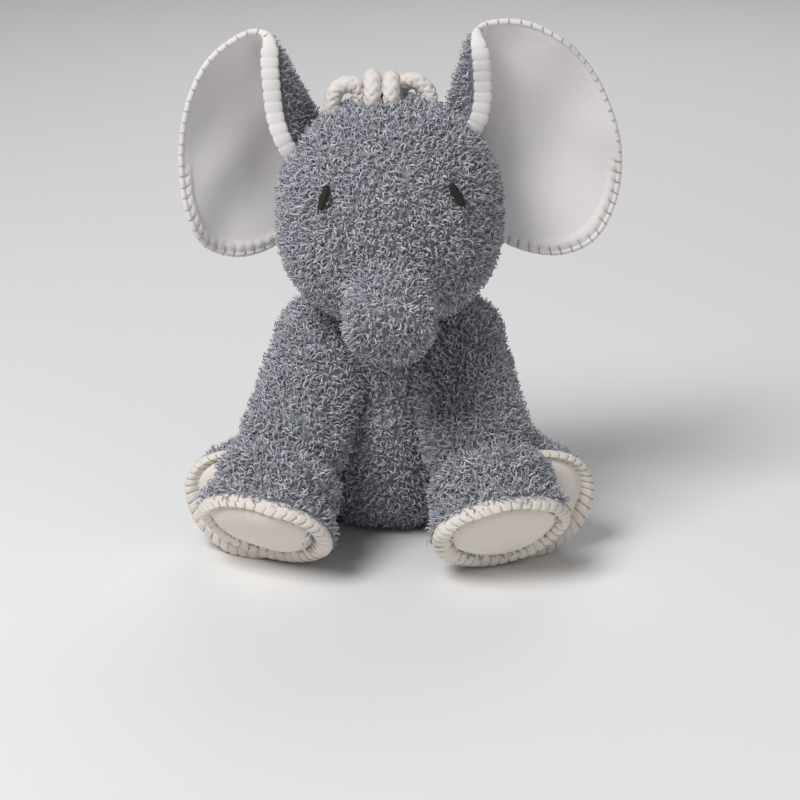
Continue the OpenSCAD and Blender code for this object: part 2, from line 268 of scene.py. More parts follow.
def ball(bm, at, radius, stretch=(1, 1, 1)):
    """Adds a ball, stretched along each axis, to the bmesh."""
    move = Matrix.Translation(Vector(at) * MM) @ Matrix.Diagonal((*stretch, 1))
    bmesh.ops.create_icosphere(bm, subdivisions=4, radius=radius * MM, matrix=move)


def aim(pitch, splay, side):
    """Turns +Z to point down by pitch below level, splayed outward."""
    return (Matrix.Rotation(math.radians(side * splay), 4, "Z")
            @ Matrix.Rotation(math.radians(90 + pitch), 4, "X"))


def turned(bm, profile, move, steps=64):
    """A closed turned shape: the profile's points are (radius, height), from pole to pole."""
    verts = [bm.verts.new((r * MM, 0, z * MM)) for r, z in profile]
    edges = [bm.edges.new(pair) for pair in zip(verts, verts[1:])]
    bmesh.ops.spin(
        bm, geom=verts + edges, cent=(0, 0, 0), axis=(0, 0, 1), angle=math.tau,
        steps=steps, use_merge=True, use_duplicate=False)
    bmesh.ops.remove_doubles(bm, verts=bm.verts, dist=0.02 * MM)
    bmesh.ops.transform(bm, matrix=move, verts=bm.verts)


def stuffed(name, bm, voxel, rounds):
    """One smooth stuffed skin grown round the shapes in the bmesh."""
    # The skin gets the dark plush finish, which is painted shade for the gaps between its curls.
    obj = link(name, bm, "grey_plush")
    grow = obj.modifiers.new("one skin", "REMESH")
    grow.mode = "VOXEL"
    grow.voxel_size = voxel * MM
    grow.use_smooth_shade = True
    soften = obj.modifiers.new("soften", "SMOOTH")
    soften.factor = 0.5
    soften.iterations = rounds
    settle(obj)
    obj.data.materials.clear()
    obj.data.materials.append(finish_named("grey_plush"))
    return obj


def swell(obj, cap, pressure=4.0):
    """The filling presses the skin outward for a moment; no point moves further than cap."""
    scene = bpy.context.scene
    before = [v.co.copy() for v in obj.data.vertices]
    cloth = obj.modifiers.new("filling", "CLOTH")
    s = cloth.settings
    s.quality = 5
    s.mass = 0.3
    s.tension_stiffness = s.compression_stiffness = 12
    s.bending_stiffness = 0.4
    s.use_pressure = True
    s.uniform_pressure_force = pressure
    s.effector_weights.gravity = 0
    cloth.collision_settings.use_collision = False
    for step in range(1, 15):
        scene.frame_set(step)
    settle(obj)
    scene.frame_set(1)
    for v, old in zip(obj.data.vertices, before):
        move = v.co - old
        if move.length > cap * MM:
            v.co = old + move * (cap * MM / move.length)
    return obj


def flatten_seat(obj):
    """What would sink into the floor is pressed flat on it."""
    for v in obj.data.vertices:
        if v.co.z < 1.2 * MM:
            v.co.z = 1.2 * MM


# ---- curly fleece ----

def curl_forms():
    """Six curls in three shades, from which the scattering picks."""
    f = bpy.context.scene.elephant_fleece
    group = bpy.data.collections.new("curl forms")
    rng = random.Random(f.seed)
    for i, tone in enumerate(("curl_dark", "curl_mid", "curl_mid", "curl_mid", "curl_light",
                              "curl_light")):
        bm = bmesh.new()
        steps = 2 + i % 2
        phase = rng.uniform(0, math.tau)
        turns = rng.uniform(0.14, 0.22) * steps * rng.choice((-1, 1))
        ring = bmesh.ops.create_circle(bm, segments=3, radius=f.strand)["verts"]
        edges = list({e for v in ring for e in v.link_edges})
        last = Vector((0, 0, -0.6 * MM))
        bmesh.ops.translate(bm, vec=last, verts=ring)
        start = Vector((math.cos(phase), math.sin(phase), 0))
        for k in range(1, steps + 1):
            t = k / steps
            a = phase + turns * math.tau * t
            out = Vector((math.cos(a), math.sin(a), 0)) - start
            goal = out * f.coil + Vector((0, 0, f.curl * math.sin(1.75 * t)))
            new = bmesh.ops.extrude_edge_only(bm, edges=edges)["geom"]
            edges = [g for g in new if isinstance(g, bmesh.types.BMEdge)]
            ring = [g for g in new if isinstance(g, bmesh.types.BMVert)]
            bmesh.ops.translate(bm, vec=goal - last, verts=ring)
            shrink = 1.1 - 0.1 * k if k < steps else 0.45
            bmesh.ops.scale(bm, vec=(shrink,) * 3, space=Matrix.Translation(-goal), verts=ring)
            last = goal
        bmesh.ops.contextual_create(bm, geom=edges)
        obj = link(f"curl_{i}", bm, tone)
        bpy.context.scene.collection.objects.unlink(obj)
        group.objects.link(obj)
    return group


def scatter_nodes(group, density, seed, size):
    """Geometry nodes that stand curls from the group all over a surface."""
    tree = bpy.data.node_groups.new("scatter curls", "GeometryNodeTree")
    tree.interface.new_socket("Geometry", in_out="INPUT", socket_type="NodeSocketGeometry")
    tree.interface.new_socket("Geometry", in_out="OUTPUT", socket_type="NodeSocketGeometry")
    n, link_up = tree.nodes, tree.links.new
    enter, leave = n.new("NodeGroupInput"), n.new("NodeGroupOutput")
    spread = n.new("GeometryNodeDistributePointsOnFaces")
    spread.distribute_method = "POISSON"
    spread.inputs["Distance Min"].default_value = 0.82 / math.sqrt(density)
    spread.inputs["Density Max"].default_value = density * 4
    spread.inputs["Seed"].default_value = seed
    forms = n.new("GeometryNodeCollectionInfo")
    forms.inputs["Collection"].default_value = group
    forms.inputs["Separate Children"].default_value = True
    forms.inputs["Reset Children"].default_value = True
    lean = n.new("FunctionNodeRandomValue")
    lean.data_type = "FLOAT_VECTOR"
    lean.inputs["Min"].default_value = (-0.6, -0.6, 0)
    lean.inputs["Max"].default_value = (0.6, 0.6, math.tau)
    lean.inputs["Seed"].default_value = seed + 1
    to_turn = n.new("FunctionNodeEulerToRotation")
    turn = n.new("FunctionNodeRotateRotation")
    turn.rotation_space = "LOCAL"
    scale = n.new("FunctionNodeRandomValue")
    scale.data_type = "FLOAT"
    scale.inputs[2].default_value = 0.7 * size
    scale.inputs[3].default_value = 1.25 * size
    scale.inputs["Seed"].default_value = seed + 2
    stand = n.new("GeometryNodeInstanceOnPoints")
    stand.inputs["Pick Instance"].default_value = True
    real = n.new("GeometryNodeRealizeInstances")
    link_up(enter.outputs[0], spread.inputs["Mesh"])
    link_up(spread.outputs["Points"], stand.inputs["Points"])
    link_up(forms.outputs[0], stand.inputs["Instance"])
    link_up(lean.outputs["Value"], to_turn.inputs[0])
    link_up(spread.outputs["Rotation"], turn.inputs["Rotation"])
    link_up(to_turn.outputs[0], turn.inputs["Rotate By"])
    link_up(turn.outputs[0], stand.inputs["Rotation"])
    link_up(scale.outputs[1], stand.inputs["Scale"])
    link_up(stand.outputs[0], real.inputs[0])
    link_up(real.outputs[0], leave.inputs[0])
    return tree


def curls_on(skin, name, group, keep=None, share=1.0, size=1.0, salt=0):
    """Curly fleece standing on the skin's faces, as a piece of its own."""
    f = bpy.context.scene.elephant_fleece
    bm = bmesh.new()
    bm.from_mesh(skin.data)
    if keep:
        gone = [face for face in bm.faces if not keep(face.calc_center_median() / MM)]
        bmesh.ops.delete(bm, geom=gone, context="FACES")
    obj = link(name, bm)
    density = f.density * 1e4 * share
    scatter = obj.modifiers.new("curls", "NODES")
    scatter.node_group = scatter_nodes(group, density, f.seed + salt, size)
    settle(obj)
    obj.data.polygons.foreach_set("use_smooth", [True] * len(obj.data.polygons))
    for v in obj.data.vertices:
        v.co.z = max(v.co.z, 0.3 * MM)
    return obj


def drop(objects):
    """Removes helper objects that were only needed on the way."""
    for obj in objects:
        bpy.data.objects.remove(obj)


# ---- ears ----

EAR_PATTERN = {
    LEFT: [(36, 210), (23, 224), (14, 240), (17, 254), (27, 269), (38, 281), (54, 287), (70, 287),
           (84, 282), (98, 272), (112, 253), (122, 228), (125, 206), (122, 184), (112, 166),
           (94, 157), (74, 159), (56, 168), (44, 184), (39, 198)],
    RIGHT: [(37, 208), (24, 222), (13, 240), (23, 260), (47, 275), (66, 283), (82, 284),
            (95, 278), (107, 267), (115, 250), (118, 228), (118, 206), (116, 186), (108, 169),
            (92, 160), (74, 160), (56, 168), (44, 182), (39, 196)],
}
EAR_MID = Vector((72, 222))
FOLD = {LEFT: (Vector((37, 230)), Vector((53, 284))),
        RIGHT: (Vector((49, 230)), Vector((82, 281)))}
FOLD_R, FOLD_TURN = 5.5, 2.85
EDGE_CLEAR, FOLD_CLEAR = 4.8, 6.5   # bare cloth kept beside the edge and the folded edge
CUP_R, CUP_MID, CUP_Y = 170, Vector((72, 205)), -8
HINGE = Vector((55, -12))
EAR_TURN = {LEFT: 2, RIGHT: 26}


def smooth_loop(points, n):
    """A closed smooth curve through the points, with n steps from each to the next."""
    out = []
    count = len(points)
    for i in range(count):
        a, b, c, d = (Vector(points[(i + k) % count]) for k in (-1, 0, 1, 2))
        for j in range(n):
            t = j / n
            out.append(0.5 * (2 * b + (c - a) * t + (2 * a - 5 * b + 4 * c - d) * t * t
                              + (3 * b - a - 3 * c + d) * t ** 3))
    return out


RIM = {side: smooth_loop(pattern, 12) for side, pattern in EAR_PATTERN.items()}


def rim_reach(side, angle):
    """How far the ear's edge is from its middle in that direction, and how far along the edge."""
    best, run, at = 0.0, 0.0, 0.0
    rim = RIM[side]
    for i, p in enumerate(rim):
        q = rim[(i + 1) % len(rim)]
        a, b = (math.atan2(e.y - EAR_MID.y, e.x - EAR_MID.x) for e in (p, q))
        span = (b - a + math.pi) % math.tau - math.pi
        step = (angle - a + math.pi) % math.tau - math.pi
        if abs(span) > 1e-9 and 0 <= step / span <= 1:
            t = step / span
            reach = (p.lerp(q, t) - EAR_MID).length
            if reach > best:
                best, at = reach, run + (q - p).length * t
        run += (q - p).length
    return best, at


def pinch(run):
    """How hard a blanket stitch pulls at that distance along the edge, from 0 to 1."""
    pitch = bpy.context.scene.elephant_trim.pitch / MM
    return (0.5 + 0.5 * math.cos(math.tau * run / pitch)) ** 6


def ear_at(p, lift, side):
    """Where the ear's cloth lies at p on its flat pattern, lifted toward the front."""
    fold_foot, fold_top = FOLD[side]
    along = (fold_top - fold_foot).normalized()
    inward = Vector((-along.y, along.x))
    rel = p - fold_foot
    d, s = rel.dot(inward), rel.dot(along)
    sag = CUP_Y - CUP_R + math.sqrt(CUP_R ** 2 - min((p - CUP_MID).length, 120) ** 2)
    ripple = 1.6 * math.sin(p.x * 0.11 + 0.8) * math.sin(p.y * 0.07 + side)
    ripple += 2.2 * noise.noise(Vector((p.x * 0.035, p.y * 0.03, 3.1 * side)))
    if d <= 0:
        flat, y = p, sag + ripple - lift
    else:
        a = min(d / FOLD_R, FOLD_TURN)
        run = max(0.0, d - FOLD_R * FOLD_TURN)
        r = FOLD_R - lift
        side_way = r * math.sin(a) + run * math.cos(a)
        front = FOLD_R - r * math.cos(a) + run * math.sin(a)
        foot = fold_foot + along * s
        flat = foot + inward * side_way
        y = sag + ripple - front
    turn = math.radians(-EAR_TURN[side])
    x0, y0 = flat.x - HINGE.x, y - HINGE.y
    x = HINGE.x + x0 * math.cos(turn) - y0 * math.sin(turn)
    y = HINGE.y + x0 * math.sin(turn) + y0 * math.cos(turn)
    return Vector((side * x, y, flat.y)) * MM


def ear_sheet(name, side, low, high, finish, puff):
    """One of an ear's two fabrics, as a closed cloth that thickens a little in the middle."""
    bm = bmesh.new()
    bmesh.ops.create_grid(bm, x_segments=84, y_segments=84, size=1)
    flat, runs = {}, {}
    for v in bm.verts:
        x, y = v.co.x, v.co.y
        u, w = x * math.sqrt(1 - y * y / 2), y * math.sqrt(1 - x * x / 2)
        share = math.hypot(u, w)
        angle = math.atan2(w, u) if share > 1e-6 else 0
        reach, runs[v.index] = rim_reach(side, angle)
        flat[v.index] = EAR_MID + Vector((math.cos(angle), math.sin(angle))) * share * reach
        v.co.z = share
    bm.verts.ensure_lookup_table()
    shares = [v.co.z for v in bm.verts]
    walls = bmesh.ops.extrude_face_region(bm, geom=bm.faces[:])
    top = [g for g in walls["geom"] if isinstance(g, bmesh.types.BMVert)]
    count = len(shares)
    bm.verts.ensure_lookup_table()
    key = {(round(v.co.x, 6), round(v.co.y, 6)): i for i, v in enumerate(bm.verts[:count])}
    tops = {v: key[(round(v.co.x, 6), round(v.co.y, 6))] for v in top}
    for v, i in tops.items():
        edge = max(0.0, shares[i] - 0.88) / 0.12
        roll = math.sin(math.pi * min(1.0, edge * 1.15)) if edge else 0.0
        rise = high + puff * (1 - shares[i] ** 2)
        if puff > 0:
            rise += 1.1 * roll * sewn(flat[i], side)
            rise -= 0.9 * pinch(runs[i]) * min(1.0, edge * 2) * sewn(flat[i], side)
        v.co = ear_at(flat[i], rise * (1 - 0.3 * edge ** 3), side)
    for i, v in enumerate(bm.verts[:count]):
        if v not in tops:
            v.co = ear_at(flat[i], low, side)
    return link(name, bm, finish)


def sewn(p, side):
    """1 where the blanket stitch bites into the pile; it hardly shows on the outer top edge."""
    return max(0.12, fold_share(p, side), min(1.0, max(0.0, (216 - p.y) / 10)))


def rim_points(side, step):
    """Points along the free edge of an ear, step apart: the point, the way in, and the run."""
    out, run, whole = [], 0.0, 0.0
    rim = RIM[side]
    n = len(rim)
    for i in range(n):
        p, q = rim[i], rim[(i + 1) % n]
        gap = (q - p).length
        while run <= gap:
            at = p.lerp(q, run / gap)
            out.append((at, (EAR_MID - at).normalized(), whole + run))
            run += step
        run -= gap
        whole += gap
    return [o for o in out if not (o[0].x < 40 and o[0].y < 226)]


def fold_share(p, side):
    """1 where the edge lies on the folded margin, 0 elsewhere."""
    foot, top = FOLD[side]
    along = (top - foot).normalized()
    d = (p - foot).dot(Vector((-along.y, along.x)))
    return max(0.0, min(1.0, (d - 6) / 10))


def bar(bm, a, b, width, sides=6):
    """A rod from a to b with round ends."""
    way = b - a
    turn = way.to_track_quat("Z", "Y").to_matrix().to_4x4()
    move = Matrix.Translation((a + b) / 2) @ turn
    made = bmesh.ops.create_cone(
        bm, cap_ends=True, segments=sides, radius1=width / 2, radius2=width / 2,
        depth=way.length, matrix=move)
    caps = [f for f in {f for v in made["verts"] for f in v.link_faces} if len(f.verts) == sides]
    for cap in caps:
        mid = cap.calc_center_median()
        out = (mid - (a + b) / 2).normalized() * width * 0.3
        bmesh.ops.inset_region(bm, faces=[cap], thickness=width * 0.16, use_even_offset=True)
        bmesh.ops.translate(bm, vec=out, verts=cap.verts)


def tube(name, points, around, radius, *finishes, reshape=None):
    """A closed tube along the points; radius is a function of the share round and along it,
    and reshape may change a point's offset from the middle line."""
    bm = bmesh.new()
    n = len(points) - 1
    bmesh.ops.create_grid(bm, x_segments=around, y_segments=n, size=1)
    ways = [(points[min(i + 1, n)] - points[max(i - 1, 0)]).normalized() for i in range(n + 1)]
    side = ways[0].orthogonal().normalized()
    frames = []
    for way in ways:
        side = (side - way * side.dot(way)).normalized()
        frames.append((side, way.cross(side)))
    for v in bm.verts:
        u, w = (v.co.x + 1) / 2, (v.co.y + 1) / 2
        i = min(n, round(w * n))
        a = u * math.tau
        e, f = frames[i]
        offset = (e * math.cos(a) + f * math.sin(a)) * radius(u % 1.0, i / n)
        v.co = points[i] + (reshape(i, ways[i], offset) if reshape else offset)
    bmesh.ops.remove_doubles(bm, verts=bm.verts, dist=0.005 * MM)
    bmesh.ops.holes_fill(bm, edges=[e for e in bm.edges if e.is_boundary], sides=0)
    return link(name, bm, *finishes)


def smooth_path(points, n):
    """An open smooth path through the points, with n steps from each to the next."""
    p = [Vector(q) for q in points]
    p = [2 * p[0] - p[1]] + p + [2 * p[-1] - p[-2]]
    out = []
    for a, b, c, d in zip(p, p[1:], p[2:], p[3:]):
        for j in range(n):
            t = j / n
            out.append(0.5 * (2 * b + (c - a) * t + (2 * a - 5 * b + 4 * c - d) * t * t
                              + (3 * b - a - 3 * c + d) * t ** 3))
    return out + [p[-2]]


# ---- legs, trunk and tail: (radius, height) from pole to pole ----

FRONT_PROFILE = [(0, -26), (12, -23.4), (21, -16), (26.5, -5), (28, 6), (27.6, 20), (27.2, 38),
                 (27.8, 52), (26.6, 62), (22.6, 69), (27.4, 74), (31.6, 79), (32.4, 84), (30.2, 89),
                 (31.5, 94), (35, 99), (36.6, 103), (35.5, 106), (30, 107), (15, 107), (0, 107)]
HIND_PROFILE = [(0, -22), (12, -19.4), (19, -13), (23, -4), (24.4, 8), (24.6, 24), (24.4, 42),
                (24, 54), (25.5, 60), (27.5, 66), (30.5, 72), (33, 77), (32.6, 80), (28, 81),
                (14, 81), (0, 81)]
TRUNK_PROFILE = [(0, 20), (24, 22), (32, 32), (30.5, 44), (25.5, 53), (21.6, 60), (20.8, 68),
                 (21.2, 76), (21.9, 84), (21.6, 91), (19, 95.3), (13, 96.6), (0, 96.4)]
TAIL_PROFILE = [(0, -9), (5, -8), (8, -4), (8.4, 2), (7.8, 12), (7.2, 22), (7.4, 30),
                (7.2, 36), (5, 40), (0, 41.5)]
SOLE_RIM = 8.5     # width of the puffy rim of a sole
SOLE_RISE = 7.5    # how far the middle of a sole is shifted up, which thins the top of its rim
TOP_FLAT = 0.76    # how much the upper half of a foot is flattened
FOOT_FUR = 6       # fleece that reaches in past the edge of a foot's end


def leg_place(leg, side):
    return Matrix.Translation(leg["at"] * MM) @ aim(leg["pitch"], leg["splay"], side)


def leg_way(leg, side):
    return aim(leg["pitch"], leg["splay"], side).to_3x3() @ Vector((0, 0, 1))


def rounded(profile, n=3):
    pts = smooth_path([(r, 0, z) for r, z in profile], n)
    return [(max(0.0, p.x), p.z) for p in pts]


def leg_skin(name, leg, profile, side):
    bm = bmesh.new()
    turned(bm, rounded(profile), Matrix.Identity(4))
    foot = max(z for _, z in profile)
    for v in bm.verts:
        t = max(0.0, min(1.0, (v.co.z / MM - foot + 22) / 20))
        if v.co.y > 0:
            v.co.y *= 1 + (TOP_FLAT + 0.03 - 1) * t  # the cloth stands a little past the sole
    bmesh.ops.transform(bm, matrix=leg_place(leg, side), verts=bm.verts)
    obj = stuffed(name, bm, 3.0, 4)
    swell(obj, 1.2, 2.0)
    flatten_seat(obj)
    return obj


def sole(name, leg, radius, height, side, stitches):
    """A padded sole: a raised middle pad inside a puffy rim that is pulled in at each stitch."""
    bm = bmesh.new()
    mid_r = radius - SOLE_RIM
    half = SOLE_RIM / 2
    profile = [(0, -1.0), (radius - 6, -1.0), (radius - 1.2, 0.2), (radius + 0.6, 2.8),
               (radius - 0.4, 5.6), (radius - 3.0, 7.2), (radius - half, 7.6),
               (mid_r + 2.2, 6.8), (mid_r + 0.7, 5.4), (mid_r - 0.3, 4.8), (mid_r - 1.6, 6.0),
               (mid_r - 5, 8.2), (mid_r * 0.6, 9.9), (mid_r * 0.3, 10.7), (0, 10.9)]
    steps = stitches * 8
    place = leg_place(leg, side)
    turned(bm, rounded(profile, 4), Matrix.Identity(4), steps)
    for v in bm.verts:
        r = math.hypot(v.co.x, v.co.y) / MM
        a = math.atan2(v.co.y, v.co.x)
        if r > mid_r - 1 and v.co.z > -0.5 * MM:
            pull = (0.5 + 0.5 * math.cos(a * stitches)) ** 8
            fade = min(1.0, (r - mid_r + 1) / 2)
            v.co.z -= 1.0 * MM * pull * fade
            v.co.x *= 1 - 0.008 * pull * fade
            v.co.y *= 1 - 0.008 * pull * fade
        v.co.y += SOLE_RISE * MM * max(0.0, 1 - (r / radius) ** 3)
        if v.co.y > 0:
            v.co.y *= TOP_FLAT
        puff = noise.noise(Vector((v.co.x, v.co.y, side * 0.02)) / (18 * MM))
        v.co.z += 1.3 * MM * puff * (1 if v.co.z > 3 * MM else 0)
        v.co.z += height * MM
    bmesh.ops.transform(bm, matrix=place, verts=bm.verts)
    obj = link(name, bm, "cream_fleece")
    for v in obj.data.vertices:
        if v.co.z < 0.2 * MM:
            v.co.z = 0.2 * MM
    threads = bmesh.new()
    width = bpy.context.scene.elephant_trim.thread_width
    for k in range(stitches):
        a = k * math.tau / stitches
        way = Vector((math.cos(a), math.sin(a), 0))
        route = [(mid_r + 0.4, 4.9), (mid_r + 2.4, 6.0), (radius - half, 6.6), (radius - 2.6, 6.2),
                 (radius - 0.4, 4.6)]
        pts = []
        for r, z in route:
            y = way.y * r + SOLE_RISE * max(0.0, 1 - (r / radius) ** 3)
            pts.append(Vector((way.x * r, y * (TOP_FLAT if y > 0 else 1), z + height)) * MM)
        for p, q in zip(pts, pts[1:]):
            bar(threads, p, q, width, 5)
    bmesh.ops.transform(threads, matrix=place, verts=threads.verts)
    for v in threads.verts:
        v.co.z = max(v.co.z, 0.1 * MM)
    seam = link(name + "_thread", threads, "stitch_thread")
    return obj, seam


# ---- operators: one for each piece or group of like pieces ----

class ELEPHANT_OT_camera(bpy.types.Operator):
    """Camera at eye height of a person at the table"""
    bl_idname = "elephant.camera"
    bl_label = "Camera"

    def execute(self, context):
        data = bpy.data.cameras.new("camera")
        data.sensor_width = 36
        data.lens = CAMERA_LENS
        data.shift_y = CAMERA_SHIFT
        data.clip_end = 20
        cam = bpy.data.objects.new("camera", data)
        cam.location = CAMERA_AT
        cam.rotation_euler = (CAMERA_TILT, 0, 0)
        context.scene.collection.objects.link(cam)
        context.scene.camera = cam
        return {"FINISHED"}


class ELEPHANT_OT_hair(bpy.types.Operator):
    """Four standing loops of braided cord, sewn into the crown"""
    bl_idname = "elephant.hair"
    bl_label = "Hair"

    def execute(self, context):
        trim = context.scene.elephant_trim
        d = trim.cord_width
        for i, route in enumerate(HAIR):
            pts = [Vector(p) for p in route]
            inside = HEAD + (pts[0] + pts[-1] - 2 * HEAD) * 0.5 * 0.66
            down_a = pts[0] + (inside - pts[0]).normalized() * 14
            down_b = pts[-1] + (inside - pts[-1]).normalized() * 14
            down_a += (pts[0] - pts[-1]).normalized() * 2
            down_b += (pts[-1] - pts[0]).normalized() * 2
            path = [p * MM for p in smooth_path([down_a, *pts, down_b], 10)]
            run = [0.0]
            for p, q in zip(path, path[1:]):
                run.append(run[-1] + (q - p).length)
            whole = run[-1]

            def braid(u, w, whole=whole):
                """Two sets of strands cross over and under each other round the cord."""
                turns = whole / (13 * MM)
                a = u * 4 + w * turns * 2
                b = u * 4 - w * turns * 2
                over = math.cos(math.tau * (a + b) / 2)
                left = abs(math.cos(math.pi * a)) ** 0.6
                right = abs(math.cos(math.pi * b)) ** 0.6
                high = max(left * (0.82 + 0.18 * over), right * (0.82 - 0.18 * over))
                return d / 2 * (0.80 + 0.27 * high)

            obj = tube(f"hair_loop_{i + 1}_cord", path, 40, braid, "braided_cord")
            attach(obj, "head")
            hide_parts(f"hair_loop_{i + 1}")
        return {"FINISHED"}


class ELEPHANT_OT_body(bpy.types.Operator):
    """Stuffed body with its curly fleece"""
    bl_idname = "elephant.body"
    bl_label = "Body"

    def execute(self, context):
        bm = bmesh.new()
        ball(bm, (0, 0, 47), 59.5)
        ball(bm, (0, -2, 96), 49, (1.0, 0.96, 1.0))
        for side in (LEFT, RIGHT):
            ball(bm, (side * 36, -17, 105), 27)
        ball(bm, (0, -10, 130), 30)
        obj = stuffed("body_plush", bm, 4.0, 10)
        swell(obj, 2.0)
        flatten_seat(obj)
        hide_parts("body_skin", "body_stuffing", "seat_bean_bag")
        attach(obj, "body")
        group = curl_forms()

        def outside(p, low, high):
            if p.z < 2.5 or (p - HEAD).length < 58:
                return False
            for legs, near, reach, wide in ((FRONT, -16, 70, 22), (HIND, -12, 60, 19)):
                for side, leg in legs.items():
                    way = leg_way(leg, side)
                    t = (p - leg["at"]).dot(way)
                    if near < t < reach and (p - leg["at"] - way * t).length < wide:
                        return False
            return low <= p.y < high

        for name, low, high in (("body_fleece_front", -99, 0), ("body_fleece_back", 0, 99)):
            fur = curls_on(obj, name, group, lambda p: outside(p, low, high), 0.9, 1.05, 3)
            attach(fur, "body")
        drop(list(group.objects))
        return {"FINISHED"}


class ELEPHANT_OT_head(bpy.types.Operator):
    """Stuffed head and trunk in one skin, with their curly fleece"""
    bl_idname = "elephant.head"
    bl_label = "Head and trunk"

    def execute(self, context):
        bm = bmesh.new()
        turned(bm, rounded(TRUNK_PROFILE), Matrix.Translation(HEAD * MM)
               @ TRUNK_WAY.to_track_quat("Z", "Y").to_matrix().to_4x4())
        ball(bm, HEAD, 59.5, (0.985, 1.0, 0.985))
        ball(bm, HEAD + Vector((0, -6, -10)), 56.5, (1.03, 0.98, 0.92))
        obj = stuffed("head_plush", bm, 2.8, 5)
        swell(obj, 1.2)
        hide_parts("head_skin", "head_stuffing", "trunk_skin", "trunk_stuffing")
        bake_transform(obj)
        group = curl_forms()

        def clear_of_eyes(p):
            for top, foot in EYES.values():
                t = max(0, min(1, (p.z - top.z) / (foot.z - top.z)))
                if (p - top.lerp(foot, t)).length < EYE_CLEAR:
                    return False
            return True

        for name, low, high in (("head_fleece_face", -200, -62), ("head_fleece_side", -62, -32),
                                ("head_fleece_back", -32, 99)):
            fur = curls_on(obj, name, group,
                           lambda p: low <= p.y < high and clear_of_eyes(p), 1.0, 1.0, 11)
            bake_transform(fur)
        drop(list(group.objects))
        return {"FINISHED"}


class ELEPHANT_OT_eyes(bpy.types.Operator):
    """Two embroidered bars of satin stitch"""
    bl_idname = "elephant.eyes"
    bl_label = "Eyes"

    def execute(self, context):
        for side in (LEFT, RIGHT):
            bm = bmesh.new()
            pts = EYES[side]
            way = (pts[1] - pts[0])
            out = ((pts[0] + pts[1]) / 2 - HEAD).normalized()
            across = way.cross(out).normalized()
            count = 22
            for k in range(count):
                t = k / (count - 1)
                wide = 2.3 * math.sqrt(max(0.1, 1 - (2 * t - 1) ** 4))
                mid = pts[0] + way * t + out * 1.8
                a = mid - across * wide - out * 1.9
                b = mid + across * wide - out * 1.9
                bar(bm, a * MM, mid * MM + across * wide * 0.5 * MM * -1, 0.75 * MM, 5)
                bar(bm, mid * MM + across * wide * -0.5 * MM, mid * MM + across * wide * 0.5 * MM,
                    0.75 * MM, 5)
                bar(bm, mid * MM + across * wide * 0.5 * MM, b * MM, 0.75 * MM, 5)
            obj = link(f"eye_{SIDE[side]}_thread", bm, "eye_thread")
            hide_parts(f"eye_{SIDE[side]}")
            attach(obj, "head")
        return {"FINISHED"}


